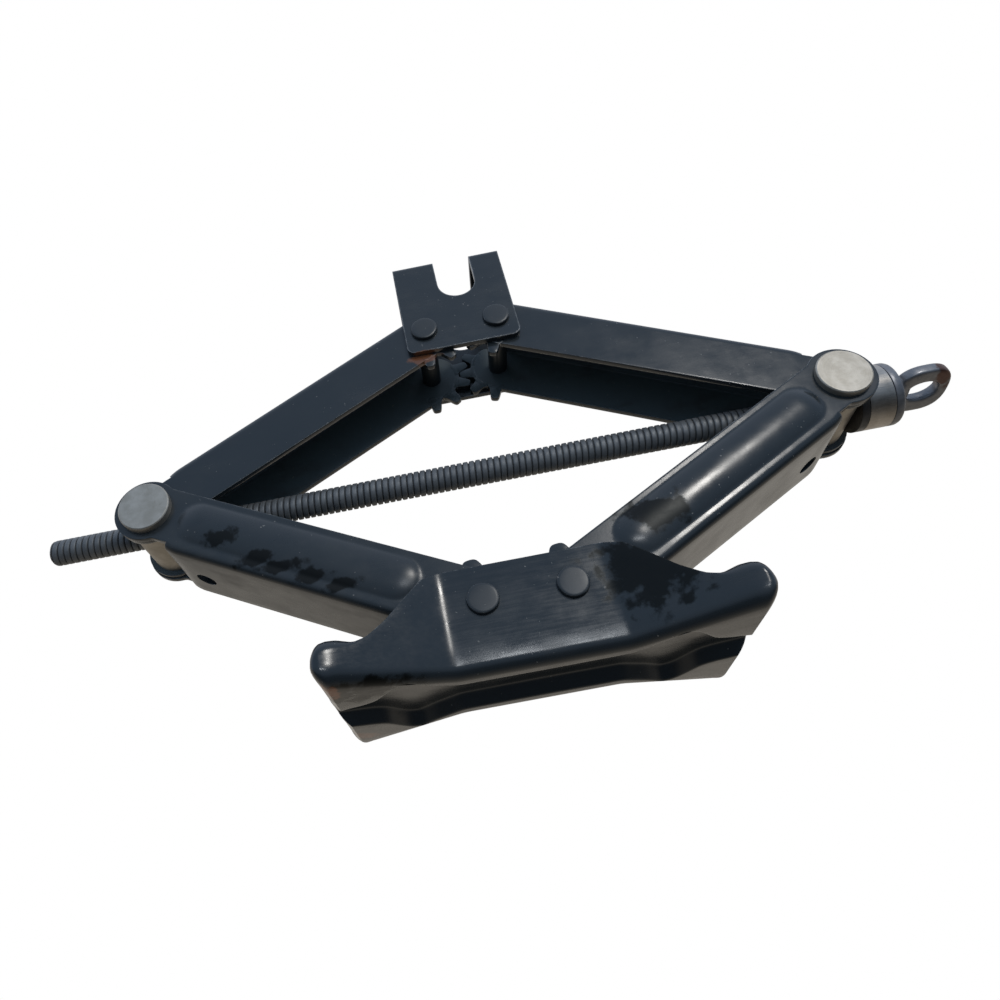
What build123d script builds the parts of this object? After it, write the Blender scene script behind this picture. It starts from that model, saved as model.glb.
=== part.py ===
from build123d import *
from math import acos, cos, pi, radians, sin, sqrt, tan
import os

os.makedirs("parts", exist_ok=True)

# Upright jack. X runs along the screw toward the crank eye, Z is the lifting direction and
# the floor is z = 0. The jack is shown partly raised.

# ---- linkage -------------------------------------------------------------------------
arm_length = 161.0            # pivot to trunnion, the same for all four arms
pivot_half = 18.4             # half the spacing of the two pivots at base and saddle
lift_angle = 27.6             # angle of the arms above the floor in this position
base_pivot_z = 29.7           # base pivots above the floor

trunnion_x = pivot_half + arm_length * cos(radians(lift_angle))
screw_z = base_pivot_z + arm_length * sin(radians(lift_angle))
saddle_pivot_z = 2 * screw_z - base_pivot_z

# ---- sheet and clearances ------------------------------------------------------------
sheet = 2.8                   # thickness of every stamped piece
side_gap = 0.3                # air between neighbouring flanges
run_fit = 0.05                # radial play of an arm on its pin
loose_fit = 0.35              # radial play where a loop of links closes

lower_half = 23.5             # half the width over the lower arms
upper_half = lower_half - sheet - side_gap
saddle_half = upper_half + side_gap + sheet
base_half = lower_half + side_gap + sheet

# ---- gear sectors --------------------------------------------------------------------
gear_pitch_r = pivot_half     # the two sectors roll on each other between the pivots
gear_teeth_full = 10          # teeth a full wheel would have
gear_tip_r = 21.4
gear_root_r = 14.9
gear_pressure = 25.0
gear_tooth_width = 5.4        # along the pitch circle, leaves air on both flanks
tooth_step = 360.0 / gear_teeth_full
first_tooth_a = 61.0          # first tooth from the arm direction, inner side
first_tooth_b = first_tooth_a + tooth_step / 2
upper_teeth = 4
lower_skip_a = 2              # teeth the lower arms leave out at the inner side
lower_skip_b = 1
lower_knob_a = 56.0           # a round knob stands there instead, angle from the arm
lower_knob_b = 68.0
knob_r = 4.0
knob_reach = 15.6             # centre of the knob from the pivot

# ---- lower arms ----------------------------------------------------------------------
lower_inner = 13.5            # flange edge above the arm's centre line
lower_web = 15.5              # outer face of the web below the centre line
lower_ear_r = 15.1
bend_r = 3.4                  # outer bend radius of the arms
web_start = 16.5              # web begins this far from the trunnion
lower_web_stop = 10.0         # and ends this far from the pivot
upper_web_stop = 1.0
web_hole_d = 10.0
web_hole_u = 30.0
web_hole_y = 3.0
rib_start = 27.5              # centre of the rib's round end at the trunnion
rib_stop = 123.5
rib_half = 9.5
rib_height = 2.2
rib_shift = 0.5               # rib centre line inward of the arm's centre line
rib_slope = 35.0              # lean of the rib's sides
rib_crown = 5.0               # rounding where the sides meet the top

# ---- upper arms ----------------------------------------------------------------------
upper_inner = 12.4
upper_inner_end = 14.0
upper_web = 14.1
upper_ear_r = 14.6

# ---- pins and trunnions --------------------------------------------------------------
pin_r = 5.0
pin_head_r = 6.8
pin_head_h = 2.1
trunnion_r = 12.0
nut_trunnion_half = 27.4      # half length, ends stand proud of the lower arms
thrust_trunnion_half = 26.8
trunnion_chamfer = 0.5

# ---- base ----------------------------------------------------------------------------
base_wall_top = 44.5
base_bend = [0.0, 34.5, 60.0, 79.0, 87.6]        # distance of each section from the middle
base_outer = [base_half, base_half, 38.0, 47.0, 49.0]
base_ridge = [16.5, 17.5, 27.0, 13.5, 7.0]       # inner edge of the sole
base_sole = [-0.1, -0.1, -0.1, -0.1, -0.1]       # underside, cut flat at the floor
base_corner = [4.4, 4.4, 4.8, 5.2, 5.2]          # outer radius from wall to sole
valley_depth = 6.0
valley_run = 4.5
base_edge = [(34.5, 44.5), (42.0, 41.6), (51.0, 32.0), (58.0, 24.4), (65.5, 18.0),
             (70.5, 16.4), (77.0, 18.2), (82.5, 18.0), (86.0, 15.5), (87.6, 11.5)]

# ---- saddle --------------------------------------------------------------------------
saddle_half_x = 28.6
saddle_above = 47.0           # top face above the saddle pivots
saddle_below = 13.5
saddle_bend = 3.0
saddle_corner = 4.0
slot_x = 3.2                  # centre of the sill slot
slot_r = 9.8
slot_bottom = 19.0            # lowest point of the slot above the pivots

# ---- screw, bearing and eye ----------------------------------------------------------
screw_r = 6.2
screw_chamfer = 2.0
nut_bore_r = screw_r + loose_fit
thrust_bore_r = screw_r + 0.08
bearing_bore_r = screw_r + 0.5
cup_r = 15.0
seat = 9.0                    # flat on the thrust trunnion, from its axis
race_t = 3.5
ball_r = 2.0
ball_circle_r = 9.6
ball_count = 10
cage_t = 1.4
cage_play = 0.15
skirt_wall = 2.0
cup_plate = 8.0
collar_gap = 0.3
collar_t = 4.5
collar_chamfer = 1.0
eye_tip = 217.8
screw_left = -eye_tip         # the screw sticks out as far as the eye on the other side
eye_half = 13.0
eye_neck_half = 11.2
eye_round = 9.5
eye_t = 5.4
eye_tilt = -8.0               # the flat is turned a little about the screw axis
eye_hole = (205.4, 15.6, 12.6)                   # centre x, length, width
eye_root = (11.0, 3.6, 5.0)                      # cone on the collar: radii and length

race_x = trunnion_x + seat
ball_x = race_x + race_t + ball_r
cup_x = ball_x + ball_r
collar_x = cup_x + cup_plate + collar_gap
eye_x = collar_x + collar_t


def prism(face, y0, y1):
    """Extrude a face drawn in (x, z) between two y planes."""
    return Rot(90, 0, 0) * (Pos(0, 0, -y1) * extrude(face, y1 - y0))


def both_sides(face, half, thickness):
    """The same flat flange on the -Y and +Y sides."""
    near = prism(face, -half, -half + thickness)
    far = prism(face, half - thickness, half)
    return near + far


def disc(x, z, radius):
    return Pos(x, z) * Circle(radius)


def bar_y(x, z, radius, half):
    return Pos(x, 0, z) * Rot(90, 0, 0) * Cylinder(radius, 2 * half)


def ring_x(x0, length, outer, bore):
    """A ring around the screw axis starting at x0."""
    body = Cylinder(outer, length) - Cylinder(bore, length)
    return Pos(x0 + length / 2, 0, screw_z) * Rot(0, 90, 0) * body


def tooth(center_x, angle):
    """One involute tooth of a sector centred at (center_x, 0)."""
    base_r = gear_pitch_r * cos(radians(gear_pressure))
    start = tan(radians(gear_pressure)) - radians(gear_pressure)
    half_pitch = gear_tooth_width / (2 * gear_pitch_r)
    flank = []
    steps = 6
    for i in range(steps + 1):
        r = base_r + (gear_tip_r - base_r) * i / steps
        a = acos(min(1.0, base_r / r))
        half = half_pitch + start - (tan(a) - a)
        flank.append((r, half))
    inner = (gear_root_r - 2.0, flank[0][1])
    side = [inner] + flank
    turn = radians(angle)
    left = [(center_x + r * cos(turn + h), r * sin(turn + h)) for r, h in side]
    right = [(center_x + r * cos(turn - h), r * sin(turn - h)) for r, h in reversed(side)]
    return make_face(Polyline(*left, *right, close=True))


def sector(first_tooth, skipped):
    """Root disc and teeth at the pivot end of an arm, arm direction is -x."""
    face = disc(arm_length, 0, gear_root_r)
    for i in range(skipped, upper_teeth):
        face += tooth(arm_length, 180 - first_tooth - i * tooth_step)
    return face


def knob(angle):
    """Round stop beside the teeth of a lower arm."""
    turn = radians(180 - angle)
    return disc(arm_length + knob_reach * cos(turn), knob_reach * sin(turn), knob_r)


def channel(half, web, length, top):
    """U section with round bends, web at the bottom, running along +X."""
    outer = Pos(0, (top - web) / 2) * Rectangle(2 * half, top + web)
    outer = fillet(outer.vertices().group_by(Axis.Y)[0], bend_r)
    inner_h = top + web - sheet
    inner = Pos(0, (top - web + sheet) / 2) * Rectangle(2 * (half - sheet), inner_h)
    inner = fillet(inner.vertices().group_by(Axis.Y)[0], bend_r - sheet)
    return extrude(Plane.YZ * (outer - inner), length)


def arm(half, inner, inner_end, web, web_stop, ear_r, gear, pivot_bore):
    """A channel arm. Trunnion at the origin, pivot at (arm_length, 0), +Z toward the screw."""
    flange = make_face(Polyline((0, -web), (arm_length, -web + 0.2), (arm_length, inner_end),
                                (0, inner), close=True))
    outline = flange + disc(0, 0, ear_r) + gear
    flat = both_sides(outline, half, sheet)
    web_end = arm_length - web_stop
    span = web_end - web_start
    low = Box(span, 4 * half, web, align=(Align.MIN, Align.CENTER, Align.MAX))
    flat -= Pos(web_start, 0, -web / 3) * low
    body = flat + Pos(web_start, 0, 0) * channel(half, web, span, -web / 3)
    body -= bar_y(0, 0, trunnion_r + run_fit, 2 * half)
    body -= bar_y(arm_length, 0, pivot_bore, 2 * half)
    return body


def rib_outline(half_width):
    return Pos((rib_start + rib_stop) / 2, rib_shift) * SlotCenterToCenter(
        rib_stop - rib_start, 2 * half_width)


def lower_arm(first_tooth, skipped, knob_angle):
    gear = sector(first_tooth, skipped) + knob(knob_angle)
    body = arm(lower_half, lower_inner, lower_inner, lower_web, lower_web_stop, lower_ear_r,
               gear, pin_r + run_fit)
    for side in (-1, 1):
        pad = extrude(rib_outline(rib_half), rib_height, taper=rib_slope)
        pad = fillet(pad.edges().group_by(Axis.Z)[-1], rib_crown)
        body += Rot(90, 0, 0) * mirror_pad(pad, side)
        pocket_y = side * (lower_half - sheet)
        pocket = prism(rib_outline(rib_half - sheet),
                       min(pocket_y, pocket_y + side * rib_height),
                       max(pocket_y, pocket_y + side * rib_height))
        body -= pocket
    hole = Pos(web_hole_u, web_hole_y, -lower_web) * Cylinder(web_hole_d / 2, 4 * sheet)
    return body - hole


def mirror_pad(pad, side):
    """Put a rib pad on the outside of the near (-1) or far (+1) flange."""
    raised = Pos(0, 0, lower_half) * pad
    if side > 0:
        raised = mirror(raised, Plane.XY)
    return raised


def upper_arm(first_tooth, pivot_bore):
    return arm(upper_half, upper_inner, upper_inner_end, upper_web, upper_web_stop,
               upper_ear_r, sector(first_tooth, 0), pivot_bore)


def as_lower(body, right):
    placed = Pos(-trunnion_x, 0, screw_z) * Rot(0, lift_angle, 0) * body
    return mirror(placed, Plane.YZ) if right else placed


def as_upper(body, right):
    return mirror(as_lower(body, right), Plane.XY.offset(screw_z))


def base_section(x, outer, ridge, sole, corner, inset):
    """Closed section of the base at x; inset 0 is the outside, inset = sheet the inside."""
    slope = sqrt(valley_depth ** 2 + valley_run ** 2)
    shift = inset * (valley_depth / slope - (1 - valley_run / slope) * valley_run / valley_depth)
    wall = outer - inset
    r = corner - inset
    low = sole + inset
    top = base_wall_top + 8.0
    c = r * (1 - sqrt(0.5))
    half = [(wall, top), (wall, low + r), (wall - c, low + c), (wall - r, low),
            (ridge + shift, low), (ridge - valley_run + shift, low + valley_depth)]
    left = [(-y, z) for y, z in half]
    edges = [
        Line(half[0], half[1]),
        ThreePointArc(half[1], half[2], half[3]),
        Line(half[3], half[4]),
        Line(half[4], half[5]),
        Line(half[5], left[5]),
        Line(left[5], left[4]),
        Line(left[4], left[3]),
        ThreePointArc(left[3], left[2], left[1]),
        Line(left[1], left[0]),
        Line(left[0], half[0]),
    ]
    return Plane.YZ.offset(x) * make_face(edges)


def base_half_shell(inset):
    """Ruled solid through all sections on the +X side."""
    rows = list(zip(base_bend, base_outer, base_ridge, base_sole, base_corner))
    solid = None
    for a, b in zip(rows, rows[1:]):
        faces = [base_section(*a, inset), base_section(*b, inset)]
        piece = loft(faces, ruled=True)
        solid = piece if solid is None else solid + piece
    return solid


def make_base():
    quarter = base_half_shell(0.0) - base_half_shell(sheet)
    right = [(x, z) for x, z in base_edge]
    end = base_bend[-1]
    low = [(end, 6.0), (end - 1.6, 1.6), (end - 3.2, 0.0)]
    outline = make_face(Polyline((0, 0), (0, base_wall_top), *right, *low, close=True))
    quarter &= prism(outline, -60, 60)
    body = quarter + mirror(quarter, Plane.YZ)
    for side in (-1, 1):
        body -= bar_y(side * pivot_half, base_pivot_z, pin_r, 60)
    return body


def make_saddle():
    top = saddle_pivot_z + saddle_above
    bottom = saddle_pivot_z - saddle_below
    height = top - bottom
    middle = (top + bottom) / 2
    outer = Pos(0, middle) * Rectangle(2 * saddle_half, height)
    outer = fillet(outer.vertices().group_by(Axis.Y)[-1], saddle_bend)
    inner = Pos(0, middle - sheet) * Rectangle(2 * (saddle_half - sheet), height)
    inner = fillet(inner.vertices().group_by(Axis.Y)[-1], saddle_bend - sheet)
    body = Pos(-saddle_half_x, 0, 0) * extrude(Plane.YZ * (outer - inner), 2 * saddle_half_x)
    shape = Pos(0, middle) * Rectangle(2 * saddle_half_x, height)
    shape = fillet(shape.vertices().group_by(Axis.Y)[0], saddle_corner)
    body &= prism(shape, -40, 40)
    slot_z = saddle_pivot_z + slot_bottom + slot_r
    slot = disc(slot_x, slot_z, slot_r)
    slot += Pos(slot_x, slot_z + 25) * Rectangle(2 * slot_r, 50)
    body -= prism(slot, -40, 40)
    for side in (-1, 1):
        body -= bar_y(side * pivot_half, saddle_pivot_z, pin_r, 60)
    return body


def rivet(x, z, half):
    """Through pin with a formed head on both outer faces."""
    body = bar_y(x, z, pin_r, half)
    for side in (-1, 1):
        head = Pos(x, side * (half + pin_head_h / 2), z) * Rot(90, 0, 0) * Cylinder(
            pin_head_r, pin_head_h)
        rim = head.edges().filter_by(GeomType.CIRCLE).sort_by(Axis.Y)[0 if side < 0 else -1]
        body += chamfer(rim, 0.5)
    return body


def trunnion(x, half, bore_r):
    body = bar_y(x, screw_z, trunnion_r, half)
    body = chamfer(body.edges().filter_by(GeomType.CIRCLE), trunnion_chamfer)
    return body - Pos(x, 0, screw_z) * Rot(0, 90, 0) * Cylinder(bore_r, 4 * trunnion_r)


def make_thrust_trunnion():
    body = trunnion(trunnion_x, thrust_trunnion_half, thrust_bore_r)
    cut = Box(10, 2 * (cup_r + 1), 40, align=(Align.MIN, Align.CENTER, Align.CENTER))
    return body - Pos(race_x, 0, screw_z) * cut


def make_balls():
    balls = []
    for i in range(ball_count):
        a = 2 * pi * i / ball_count
        y = ball_circle_r * cos(a)
        z = screw_z + ball_circle_r * sin(a)
        balls.append(Pos(ball_x, y, z) * Sphere(ball_r))
    return Compound(children=balls)


def make_cage():
    body = ring_x(ball_x - cage_t / 2, cage_t, ball_circle_r + 2.9, ball_circle_r - 2.7)
    for i in range(ball_count):
        a = 2 * pi * i / ball_count
        hole = Rot(0, 90, 0) * Cylinder(ball_r + cage_play, 3 * cage_t)
        body -= Pos(ball_x, ball_circle_r * cos(a), screw_z + ball_circle_r * sin(a)) * hole
    return body


def make_cup():
    plate = ring_x(cup_x, cup_plate, cup_r, bearing_bore_r)
    skirt_x = race_x + race_t + 0.3
    skirt = ring_x(skirt_x, cup_x - skirt_x, cup_r, cup_r - skirt_wall)
    return plate + skirt


def make_screw():
    length = eye_x - screw_left
    body = Pos((eye_x + screw_left) / 2, 0, screw_z) * Rot(0, 90, 0) * Cylinder(screw_r, length)
    return chamfer(body.edges().filter_by(GeomType.CIRCLE).sort_by(Axis.X)[0], screw_chamfer)


def make_eye_head():
    collar = ring_x(collar_x, collar_t, cup_r, screw_r)
    rims = collar.edges().filter_by(GeomType.CIRCLE).group_by(Axis.X)[-1].sort_by(SortBy.RADIUS)
    collar = chamfer(rims[-1], collar_chamfer)
    outline = Polyline((eye_x, -eye_neck_half), (eye_x + 9, -eye_half), (eye_tip, -eye_half),
                       (eye_tip, eye_half), (eye_x + 9, eye_half), (eye_x, eye_neck_half),
                       close=True)
    flat = make_face(outline)
    flat = fillet(flat.vertices().group_by(Axis.X)[-1], eye_round)
    x, length, width = eye_hole
    flat -= Pos(x, 0) * SlotOverall(length, width)
    blade = Pos(0, 0, -eye_t / 2) * extrude(flat, eye_t)
    wide, narrow, depth = eye_root
    root = Cone(wide, narrow, depth, align=(Align.CENTER, Align.CENTER, Align.MIN))
    blade += Pos(eye_x, 0, 0) * Rot(0, 90, 0) * root
    return collar + Pos(0, 0, screw_z) * Rot(eye_tilt, 0, 0) * blade


pieces = {
    "base_foot": make_base(),
    "base_rivet_left": rivet(-pivot_half, base_pivot_z, base_half),
    "base_rivet_right": rivet(pivot_half, base_pivot_z, base_half),
    "lower_arm_left": as_lower(lower_arm(first_tooth_a, lower_skip_a, lower_knob_a), False),
    "lower_arm_right": as_lower(lower_arm(first_tooth_b, lower_skip_b, lower_knob_b), True),
    "upper_arm_left": as_upper(upper_arm(first_tooth_a, pin_r + loose_fit), False),
    "upper_arm_right": as_upper(upper_arm(first_tooth_b, pin_r + run_fit), True),
    "saddle_bracket": make_saddle(),
    "saddle_rivet_left": rivet(-pivot_half, saddle_pivot_z, saddle_half),
    "saddle_rivet_right": rivet(pivot_half, saddle_pivot_z, saddle_half),
    "nut_trunnion": trunnion(-trunnion_x, nut_trunnion_half, nut_bore_r),
    "thrust_trunnion": make_thrust_trunnion(),
    "thrust_race": ring_x(race_x, race_t, cup_r, bearing_bore_r),
    "bearing_balls": make_balls(),
    "ball_cage": make_cage(),
    "thrust_cup": make_cup(),
    "lead_screw": make_screw(),
    "eye_head": make_eye_head(),
}

for name, piece in pieces.items():
    piece.label = name
    export_step(piece, f"parts/{name}.step")
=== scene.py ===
"""Looks of the scissor jack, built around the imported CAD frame.

Shapes are worked out in millimetres in the frame's own axes and put into the scene in metres.
"""
import math

import bmesh
import bpy
import numpy as np
from mathutils import Matrix, Vector


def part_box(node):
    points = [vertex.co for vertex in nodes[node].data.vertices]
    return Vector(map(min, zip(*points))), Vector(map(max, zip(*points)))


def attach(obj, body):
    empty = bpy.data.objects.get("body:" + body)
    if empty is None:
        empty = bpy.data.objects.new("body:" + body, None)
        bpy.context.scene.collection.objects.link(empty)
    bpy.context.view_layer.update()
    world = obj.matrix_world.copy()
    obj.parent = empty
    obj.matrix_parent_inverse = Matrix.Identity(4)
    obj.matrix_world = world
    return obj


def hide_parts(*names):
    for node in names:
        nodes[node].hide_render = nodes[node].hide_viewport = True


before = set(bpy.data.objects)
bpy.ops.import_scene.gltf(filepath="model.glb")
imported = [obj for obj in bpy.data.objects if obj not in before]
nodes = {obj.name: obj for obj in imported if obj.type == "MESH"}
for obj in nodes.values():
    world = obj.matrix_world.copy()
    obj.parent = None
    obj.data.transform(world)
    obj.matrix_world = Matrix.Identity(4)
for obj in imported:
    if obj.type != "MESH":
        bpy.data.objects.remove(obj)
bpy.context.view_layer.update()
scene = bpy.context.scene
MM = 0.001


def box_mm(node):
    """Lowest and highest corner of a CAD node, in millimetres."""
    lo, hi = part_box(node)
    return lo / MM, hi / MM


def centre_mm(node):
    """Middle of a CAD node's box, in millimetres."""
    lo, hi = box_mm(node)
    return (lo + hi) / 2


nut_axis = centre_mm("nut_trunnion")
screw_z = nut_axis.z
nut_x = nut_axis.x
thrust_x = -nut_x
base_right_pin = centre_mm("base_rivet_right")
MERGE_MM = 0.0001


# ---- mesh helpers ----------------------------------------------------------------------
def new_piece(name, verts, faces, body, replaces=(), sharp=35.0):
    """A mesh object from millimetre vertices that rides on a body and hides the CAD nodes it
    replaces.
    """
    mesh = bpy.data.meshes.new(name)
    mesh.from_pydata([tuple(c * MM for c in v) for v in verts], [], faces)
    mesh.update()
    work = bmesh.new()
    work.from_mesh(mesh)
    bmesh.ops.remove_doubles(work, verts=work.verts, dist=MERGE_MM * MM)
    bmesh.ops.recalc_face_normals(work, faces=work.faces)
    work.to_mesh(mesh)
    work.free()
    piece = bpy.data.objects.new(name, mesh)
    scene.collection.objects.link(piece)
    shade(piece, sharp)
    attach(piece, body)
    if replaces:
        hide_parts(*replaces)
    return piece


def shade(piece, sharp):
    """Smooth shading with creases sharper than this angle kept."""
    piece.data.polygons.foreach_set("use_smooth", [True] * len(piece.data.polygons))
    piece.data.set_sharp_from_angle(angle=math.radians(sharp))


def grid_faces(rows, cols, wrap=False, start=0):
    """Quads over a rows by cols block of vertices; wrap joins the last column to the first."""
    faces = []
    last = cols if wrap else cols - 1
    for i in range(rows - 1):
        for j in range(last):
            k = (j + 1) % cols
            a = start + i * cols
            b = a + cols
            faces.append((a + j, a + k, b + k, b + j))
    return faces


def lathe(profile, axis_point, axis, steps=64, wobble=None):
    """Vertices and faces of (radius, along) points turned about an axis; ends are closed.

    wobble gives the share by which a point at this angle and radius is moved outward.
    """
    axis = Vector(axis).normalized()
    side = axis.orthogonal().normalized()
    other = axis.cross(side)
    verts = []
    for radius, along in profile:
        for j in range(steps):
            a = 2 * math.pi * j / steps
            r = radius * (1.0 + (wobble(a, radius) if wobble else 0.0))
            verts.append(tuple(Vector(axis_point) + axis * along
                               + side * (r * math.cos(a)) + other * (r * math.sin(a))))
    faces = grid_faces(len(profile), steps, wrap=True)
    last = (len(profile) - 1) * steps
    faces.append(tuple(range(steps)))
    faces.append(tuple(range(last, last + steps)))
    return verts, faces


def add_bevel(piece, width, segments=2, angle=40.0):
    """Bevel of this width on every edge sharper than the angle."""
    bevel = piece.modifiers.new("bevel", "BEVEL")
    bevel.width = width * MM
    bevel.segments = segments
    bevel.limit_method = "ANGLE"
    bevel.angle_limit = math.radians(angle)
    bevel.harden_normals = False


def bake_modifiers(piece):
    """Replace the mesh with what its modifiers make of it."""
    graph = bpy.context.evaluated_depsgraph_get()
    made = bpy.data.meshes.new_from_object(piece.evaluated_get(graph))
    piece.modifiers.clear()
    piece.data = made


def softened(xs, values, sigma):
    """Values over evenly spaced xs, smoothed with a Gaussian of this width."""
    step = xs[1] - xs[0]
    reach = max(1, int(4 * sigma / step))
    kernel = np.exp(-0.5 * (np.arange(-reach, reach + 1) * step / sigma) ** 2)
    padded = np.pad(values, reach, mode="edge")
    return np.convolve(padded, kernel / kernel.sum(), mode="valid")


def rounded_path(points, radii, arc_steps, run_steps):
    """Polyline through points with each inner corner rounded to its radius.

    Each run gets run_steps points and each corner arc_steps, so that every section matches.
    """
    points = [np.array(p, float) for p in points]
    path = []
    start = points[0]
    for i in range(1, len(points)):
        corner = points[i]
        if i == len(points) - 1:
            arc = [corner]
        else:
            a = (points[i - 1] - corner) / np.linalg.norm(points[i - 1] - corner)
            b = (points[i + 1] - corner) / np.linalg.norm(points[i + 1] - corner)
            half = 0.5 * math.acos(max(-1.0, min(1.0, float(a @ b))))
            reach = radii[i - 1] / math.tan(half)
            mid = (a + b) / np.linalg.norm(a + b)
            centre = corner + mid * radii[i - 1] / math.sin(half)
            p, q = corner + a * reach - centre, corner + b * reach - centre
            turn = math.atan2(p[0] * q[1] - p[1] * q[0], float(p @ q))
            arc = []
            for k in range(arc_steps + 1):
                t = turn * k / arc_steps
                c, s = math.cos(t), math.sin(t)
                arc.append(centre + np.array([c * p[0] - s * p[1], s * p[0] + c * p[1]]))
        for k in range(run_steps):
            path.append(start + (arc[0] - start) * k / run_steps)
        path.extend(arc[:-1])
        start = arc[-1]
    path.append(points[-1])
    return path


# ---- base --------------------------------------------------------------------------------
SHEET = 2.8
base_hi = box_mm("base_foot")[1]
BASE_END = base_hi.x
BASE_TOP = base_hi.z
BASE_WIDE = base_hi.y
RIVET_HEAD = 2.1
WALL_HALF = box_mm("base_rivet_left")[1].y - RIVET_HEAD
EAR_END = 34.5
TIP_ROUND = 5.0
VALLEY_RISE, VALLEY_RUN = 6.0, 4.5
LEAN_FROM, LEAN, LEAN_HIGH = 78.0, 5.0, 9.0


def make_base():
    """Pressed foot: walls that flare into ears, two soles and a raised valley between them."""
    xs = np.arange(0.0, BASE_END + 0.01, 0.1)

    def along(points, blur):
        """Curve over xs through (x, value) points, softened as one half of a mirrored pair."""
        at, values = zip(*points)
        fine = np.interp(xs, at, values)
        mirrored = np.concatenate([fine[:0:-1], fine])
        both = np.concatenate([-xs[:0:-1], xs])
        return softened(both, mirrored, blur)[len(xs) - 1:]

    outer = along([(0.0, WALL_HALF), (EAR_END, WALL_HALF), (60.0, 38.0), (79.0, 46.6),
                   (BASE_END, BASE_WIDE)], 1.8)
    outer = np.minimum(outer, BASE_WIDE)
    beyond = np.clip(xs - (BASE_END - TIP_ROUND), 0.0, TIP_ROUND)
    outer = outer - (TIP_ROUND - np.sqrt(TIP_ROUND ** 2 - beyond ** 2 + 1e-9))
    ridge = along([(0.0, 16.8), (EAR_END, 17.2), (46.0, 24.0), (54.0, 30.5), (59.0, 28.5),
                   (67.5, 16.5), (74.0, 14.0), (BASE_END, 12.0)], 1.6)
    corner = along([(0.0, 5.0), (EAR_END, 5.0), (60.0, 5.6), (79.0, 6.4), (BASE_END, 7.0)], 3.0)
    top = along([(0.0, 44.5), (EAR_END, 44.5), (42.0, 41.6), (51.0, 32.0), (58.0, 24.4),
                 (65.5, 18.0), (70.5, 16.4), (77.0, 18.2), (82.5, 18.0), (86.0, 15.5),
                 (BASE_END, 11.5)], 0.9)
    top = np.minimum(top, BASE_TOP)
    curl = along([(0.0, 0.0), (60.0, 0.0), (67.0, 0.0), (76.0, 5.0), (BASE_END, 6.0)], 2.0)
    tip_long = 4.3
    stations = np.concatenate([np.arange(0.0, 30.0, 2.5), np.arange(30.0, 40.0, 0.8),
                               np.arange(40.0, 76.0, 1.5), np.arange(76.0, 82.0, 1.0),
                               BASE_END - tip_long * np.cos(np.linspace(0.0, math.pi / 2, 12))])
    stations = np.concatenate([-stations[:0:-1], stations])

    def section(x, inset):
        """Cross-section at x, from one wall's curled lip over the valley to the other's."""
        at = [float(np.interp(abs(x), xs, v)) for v in (outer, ridge, corner, top, curl)]
        wide, inner, bend, high, roll = at
        slope = math.hypot(VALLEY_RISE, VALLEY_RUN)
        shift = inset * (VALLEY_RISE / slope
                         - (1 - VALLEY_RUN / slope) * VALLEY_RUN / VALLEY_RISE)
        wall = wide - inset
        valley = inset + VALLEY_RISE
        roll = max(roll - inset * 0.5, 0.05)
        lip_r = max(min(roll, 5.5) * 0.92 - inset * 0.4, 0.02)
        points = [(wall - roll - 0.05, high - 0.02 * inset), (wall, high), (wall, inset),
                  (inner + shift, inset), (inner - VALLEY_RUN + shift, valley), (0.0, valley)]
        foot_r, valley_r = (1.6, 2.2) if inset == 0 else (0.5, 3.4)
        half = rounded_path(points, [lip_r, max(bend - inset, 0.6), foot_r, valley_r], 6, 5)
        return half + [np.array([-p[0], p[1]]) for p in reversed(half[:-1])]

    def slanted(x, z):
        """The ends lean in toward the floor."""
        share = min(max((abs(x) - LEAN_FROM) / (BASE_END - LEAN_FROM), 0.0), 1.0)
        return x - math.copysign(share * LEAN * max(0.0, 1.0 - z / LEAN_HIGH) ** 2, x)

    verts = []
    for inset in (0.0, SHEET):
        for x in stations:
            verts += [(slanted(x, p[1]), -p[0], p[1]) for p in section(x, inset)]
    rows = len(stations)
    cols = len(verts) // (2 * rows)
    block = rows * cols
    faces = grid_faces(rows, cols) + grid_faces(rows, cols, start=block)
    for i in range(rows - 1):
        for j in (0, cols - 1):
            a, b = i * cols + j, (i + 1) * cols + j
            faces.append((a, b, b + block, a + block))
    for j in range(cols - 1):
        for i in (0, rows - 1):
            a = i * cols + j
            faces.append((a, a + 1, a + 1 + block, a + block))
    return new_piece("base_shell", verts, faces, "base", ["base_foot"], 42)


base_shell = make_base()
add_bevel(base_shell, 0.45)


# ---- arms --------------------------------------------------------------------------------
ARM = math.hypot(thrust_x - base_right_pin.x, screw_z - base_right_pin.z)
LIFT = math.atan2(screw_z - base_right_pin.z, thrust_x - base_right_pin.x)
RIB_HIGH = 2.2
WEB_FROM = 17.0
GEAR_ROOT = 14.9
TOOTH_STEP = 36
LOWER = dict(half=box_mm("lower_arm_left")[1].y - RIB_HIGH, inner=13.5, inner_end=13.5, web=15.5,
             ear=15.1, bend=3.4, bulge=RIB_HIGH, web_end=10.0)
UPPER = dict(half=box_mm("upper_arm_left")[1].y, inner=12.4, inner_end=14.0, web=14.1, ear=14.6,
             bend=3.4, bulge=0.0, web_end=1.0)


def bulge_at(u, v, height):
    """Outward swelling of a lower flange: a long rounded rib with a crowned section."""
    start, stop, half, middle = 27.5, 123.5, 9.9, 0.5
    crown = 0.8
    along = max(start - u, 0.0, u - stop)
    s = min(math.hypot(along, v - middle) / half, 1.0)
    return height * (1.0 - s * s) ** crown


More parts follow.
